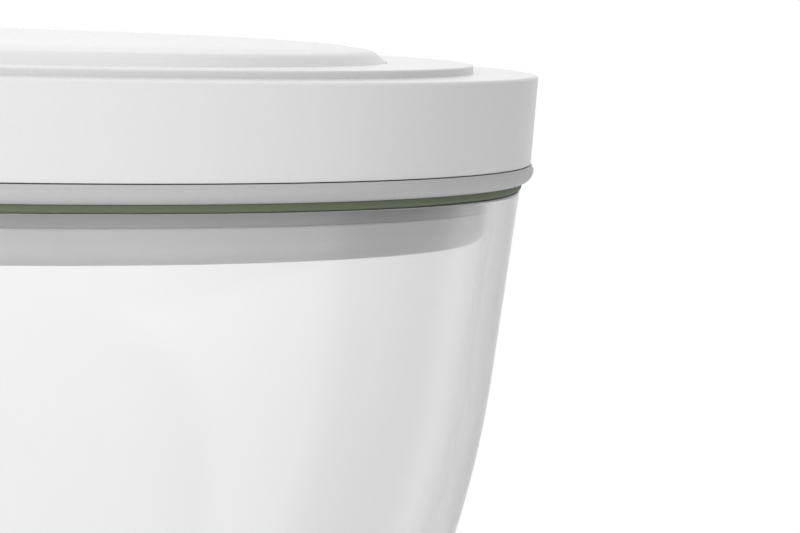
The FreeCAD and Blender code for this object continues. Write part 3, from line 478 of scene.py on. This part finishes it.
# %% Turn the button
BUTTON_THICKNESS, BUTTON_HOLLOW, BUTTON_ROUND = 2.2, 0.5, 0.5
BOSS_RADIUS, SOCKET_RADIUS, SOCKET_DEPTH = 3.2, 1.82, 4.2
button_under = button_high.z - BUTTON_THICKNESS
socket_top = button_low.z + SOCKET_DEPTH
turned_piece("press_button", rounded_outline([
    (0, socket_top), (SOCKET_RADIUS, socket_top), (SOCKET_RADIUS, button_low.z), (BOSS_RADIUS, button_low.z),
    (BOSS_RADIUS, button_under), (button_high.x, button_under), (button_high.x, button_high.z, BUTTON_ROUND),
    (0, button_high.z - BUTTON_HOLLOW)]), "release_button", "release")

# %% [markdown]
# ## The spring under the button
# A coil of steel wire stands on the lid and pushes the button up. It follows a path, so a small Geometry
# Nodes tree makes it: a spiral, and a round wire swept along it.

# %% The coil tree
POINTS_PER_TURN, POINTS_AROUND_WIRE = 32, 16
coil = bpy.data.node_groups.new("Coil", "GeometryNodeTree")
coil_inputs = {label: coil.interface.new_socket(label, in_out="INPUT", socket_type=kind) for label, kind in (
    ("Turns", "NodeSocketFloat"), ("Radius", "NodeSocketFloat"), ("Height", "NodeSocketFloat"),
    ("Wire Radius", "NodeSocketFloat"), ("Foot", "NodeSocketVector"), ("Finish", "NodeSocketMaterial"))}
coil.interface.new_socket("Spring", in_out="OUTPUT", socket_type="NodeSocketGeometry")
given = add_node(coil, "NodeGroupInput").outputs
spiral = add_node(coil, "GeometryNodeCurveSpiral", inputs={
    "Resolution": POINTS_PER_TURN, "Rotations": given["Turns"], "Height": given["Height"],
    "Start Radius": given["Radius"], "End Radius": given["Radius"]})
section = add_node(coil, "GeometryNodeCurvePrimitiveCircle", inputs={
    "Resolution": POINTS_AROUND_WIRE, "Radius": given["Wire Radius"]})
wire = add_node(coil, "GeometryNodeCurveToMesh", inputs={
    "Curve": spiral.outputs[0], "Profile Curve": section.outputs[0], "Fill Caps": True})
placed = add_node(coil, "GeometryNodeSetPosition", inputs={"Geometry": wire.outputs[0], "Offset": given["Foot"]})
smooth = add_node(coil, "GeometryNodeSetShadeSmooth", inputs={"Geometry": placed.outputs[0]})
real = add_node(coil, "GeometryNodeRealizeInstances", inputs={"Geometry": smooth.outputs[0]})
finished = add_node(coil, "GeometryNodeSetMaterial", inputs={
    "Geometry": real.outputs[0], "Material": given["Finish"]})
add_node(coil, "NodeGroupOutput", inputs={"Spring": finished.outputs[0]})
print("coil tree:", len(coil.nodes), "nodes")

# %% Wind the spring
SPRING_TURNS, SPRING_WIRE, PRESS_TRAVEL = 4.0, 0.7, 2.5
spring_low, spring_high = box_mm("release_spring")
wire_radius = SPRING_WIRE / 2
coil_sizes = {
    "Turns": SPRING_TURNS, "Radius": (spring_high.x - wire_radius) * MM, "Wire Radius": wire_radius * MM,
    "Height": (spring_high.z - spring_low.z - SPRING_WIRE) * MM,
    "Foot": (0.0, 0.0, (spring_low.z + wire_radius) * MM), "Finish": stainless_steel,
}
spring = add_piece("button_spring", mesh_from_tree(coil, bpy.data.meshes.new("spring_start"), {
    coil_inputs[label].identifier: setting for label, setting in coil_sizes.items()}), "release_spring", "lid")
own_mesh(spring)
print("button_spring:", len(spring.data.polygons), "faces")

# %% [markdown]
# ## The studio
# A white product on white needs darkness somewhere, or it has no form. The world here is three rings of
# light under a bright ceiling: the glow off the floor, the walls and the high walls. Each is bright to the
# front left and dark to the right, so the round sides darken that way. A colour ramp over the compass
# angle holds each ring, and the angle is the arctangent of the direction a ray takes. What the camera
# sees directly is plain white, and what it sees through the jar is partly veiled by that white.

# %% Studio walls as ramps over the compass angle
WALLS = [(-180, 1.05), (-140, 0.55), (-100, 0.9), (-60, 1.15), (-25, 1.4), (20, 1.38), (40, 1.1), (55, 0.75),
         (70, 0.35), (82, 0.1), (92, 0.0), (116, 0.0), (128, 0.25), (136, 0.44), (152, 0.61), (162, 0.78),
         (172, 0.97), (180, 1.05)]
HIGH_WALLS = [(-180, 1.15), (-90, 1.1), (0, 1.05), (60, 0.5), (90, 0.25), (130, 0.2), (180, 1.15)]
FLOOR_GLOW = [(-180, 0.9), (-90, 1.1), (-20, 1.28), (45, 1.15), (70, 0.78), (84, 0.56), (91, 0.05), (104, 0.08),
              (116, 0.22), (126, 0.62), (134, 0.52), (146, 0.62), (165, 0.72), (180, 0.9)]
CEILING = 1.32
WHITE_SEEN_THROUGH = 0.4
# How far up a ray points, from -1 to 1, where one ring starts to pass into the next and where it has
FLOOR_TO_WALLS, WALLS_TO_HIGH_WALLS, HIGH_WALLS_TO_CEILING = (-0.15, -0.03), (0.15, 0.40), (0.60, 0.90)
world = bpy.data.worlds.new("white_studio")
world.use_nodes = True
bpy.context.scene.world = world
tree = world.node_tree
tree.nodes.clear()
way = add_node(tree, "ShaderNodeTexCoord")
axes = add_node(tree, "ShaderNodeSeparateXYZ", inputs={"Vector": way.outputs["Generated"]})
forward = add_node(tree, "ShaderNodeMath", {"operation": "MULTIPLY"}, {0: axes.outputs["Y"], 1: -1.0})
compass = add_node(tree, "ShaderNodeMath", {"operation": "ARCTAN2"}, {
    0: axes.outputs["X"], 1: forward.outputs[0]})
compass_share = add_node(tree, "ShaderNodeMapRange", inputs={
    "Value": compass.outputs[0], "From Min": -math.pi, "From Max": math.pi})


def ring_of_light(stops):
    """stops: (compass angle in degrees, level of light), from behind over the left and front to the right"""
    ramp = add_node(tree, "ShaderNodeValToRGB", inputs={"Fac": compass_share.outputs["Result"]})
    elements = ramp.color_ramp.elements
    elements.remove(elements[-1])
    elements[0].color = (stops[0][1],) * 3 + (1,)
    for angle_here, level in stops[1:]:
        elements.new((angle_here + 180) / 360).color = (level,) * 3 + (1,)
    return ramp.outputs["Color"]


def blend_upward(lower, upper, start, full):
    share_up = add_node(tree, "ShaderNodeMapRange", {"interpolation_type": "SMOOTHSTEP"}, {
        "Value": axes.outputs["Z"], "From Min": start, "From Max": full})
    blend = add_node(tree, "ShaderNodeMix", {"data_type": "FLOAT"}, {
        "Factor": share_up.outputs["Result"], "A": lower, "B": upper})
    return blend.outputs["Result"]


studio = blend_upward(ring_of_light(FLOOR_GLOW), ring_of_light(WALLS), *FLOOR_TO_WALLS)
studio = blend_upward(studio, ring_of_light(HIGH_WALLS), *WALLS_TO_HIGH_WALLS)
studio = blend_upward(studio, CEILING, *HIGH_WALLS_TO_CEILING)
seen = add_node(tree, "ShaderNodeLightPath")
veil = add_node(tree, "ShaderNodeMath", {"operation": "MULTIPLY"}, {
    0: seen.outputs["Is Transmission Ray"], 1: WHITE_SEEN_THROUGH})
through = add_node(tree, "ShaderNodeMix", {"data_type": "FLOAT"}, {
    "Factor": veil.outputs[0], "A": studio, "B": 1.0})
backdrop = add_node(tree, "ShaderNodeMix", {"data_type": "FLOAT"}, {
    "Factor": seen.outputs["Is Camera Ray"], "A": through.outputs["Result"], "B": 1.0})
glow = add_node(tree, "ShaderNodeBackground", inputs={
    "Color": linear("#ffffff"), "Strength": backdrop.outputs["Result"]})
add_node(tree, "ShaderNodeOutputWorld", inputs={"Surface": glow.outputs[0]})
print("studio walls:", len(WALLS), "stops, ceiling", CEILING)

# %% [markdown]
# ## The floor
# The floor only has to carry the shadow. It is a pale round sheet that fades to clear at its rim, so it
# passes into the white around it without an edge. It lies a hair below the foot, because two faces in one
# place flicker. It is clear to a camera below it, so that the underside can be looked at, and clear to
# glossy reflections, which then show the studio's own floor glow.

# %% A pale floor that fades out
FLOOR_RADIUS, FLOOR_FADE_STARTS, FLOOR_DROP, FLOOR_SIDES = 0.20, 0.10, 0.0002, 96
bpy.ops.mesh.primitive_circle_add(
    vertices=FLOOR_SIDES, radius=FLOOR_RADIUS, fill_type="NGON", location=(0, 0, -FLOOR_DROP))
floor = bpy.context.object
floor.name = "floor"
floor_paint = bpy.data.materials.new("pale_studio_floor")
floor_paint.use_nodes = True
tree = floor_paint.node_tree
tree.nodes.clear()
place = add_node(tree, "ShaderNodeTexCoord")
distance = add_node(tree, "ShaderNodeVectorMath", {"operation": "LENGTH"}, {0: place.outputs["Object"]})
fade = add_node(tree, "ShaderNodeMapRange", {"interpolation_type": "SMOOTHSTEP"}, {
    "Value": distance.outputs["Value"], "From Min": FLOOR_FADE_STARTS, "From Max": FLOOR_RADIUS})
paint = add_node(tree, "ShaderNodeBsdfDiffuse", inputs={"Color": linear("#f6f6f6")})
clear = add_node(tree, "ShaderNodeBsdfTransparent")
seen = add_node(tree, "ShaderNodeLightPath")
facing = add_node(tree, "ShaderNodeNewGeometry")
from_below = add_node(tree, "ShaderNodeMath", {"operation": "MULTIPLY"}, {
    0: facing.outputs["Backfacing"], 1: seen.outputs["Is Camera Ray"]})
unlit = add_node(tree, "ShaderNodeMath", {"operation": "MAXIMUM"}, {
    0: from_below.outputs[0], 1: seen.outputs["Is Glossy Ray"]})
unseen = add_node(tree, "ShaderNodeMath", {"operation": "MAXIMUM"}, {
    0: fade.outputs["Result"], 1: unlit.outputs[0]})
sheet = add_node(tree, "ShaderNodeMixShader", inputs={
    0: unseen.outputs[0], 1: paint.outputs[0], 2: clear.outputs[0]})
add_node(tree, "ShaderNodeOutputMaterial", inputs={"Surface": sheet.outputs[0]})
floor.data.materials.append(floor_paint)
print("floor radius in mm:", FLOOR_RADIUS / MM)

# %% [markdown]
# ## The camera
# The camera stands just above the rim and looks a little down and to the right, so that the canister is
# cropped by the left edge of the picture. Its place and turn were found by laying the ellipses of
# rim, flange, gasket and plug over the photograph.

# %% Place the camera
CAMERA_PLACE = Vector((0.0, -0.480, 0.10853))
YAW, PITCH, ROLL = (math.radians(a) for a in (7.58, 4.47, 1.70))
PICTURE_WIDTH, FOCAL_PIXELS, SENSOR_WIDTH = 800, 3774, 36.0
to_right = Vector((math.cos(YAW), -math.sin(YAW), 0))
level_ahead = Vector((math.sin(YAW), math.cos(YAW), 0))
ahead = level_ahead * math.cos(PITCH) - Vector((0, 0, math.sin(PITCH)))
upright = to_right.cross(ahead)
camera_x = to_right * math.cos(ROLL) + upright * math.sin(ROLL)
camera_y = upright * math.cos(ROLL) - to_right * math.sin(ROLL)
camera = bpy.data.objects.new("camera", bpy.data.cameras.new("camera"))
bpy.context.scene.collection.objects.link(camera)
camera.matrix_world = Matrix.Translation(CAMERA_PLACE) @ Matrix(
    (camera_x, camera_y, -ahead)).transposed().to_4x4()
camera.data.sensor_width = SENSOR_WIDTH
camera.data.lens = FOCAL_PIXELS / PICTURE_WIDTH * SENSOR_WIDTH
bpy.context.scene.camera = camera
bpy.context.scene.view_settings.view_transform = "Standard"
print("camera lens in mm:", round(camera.data.lens, 2))
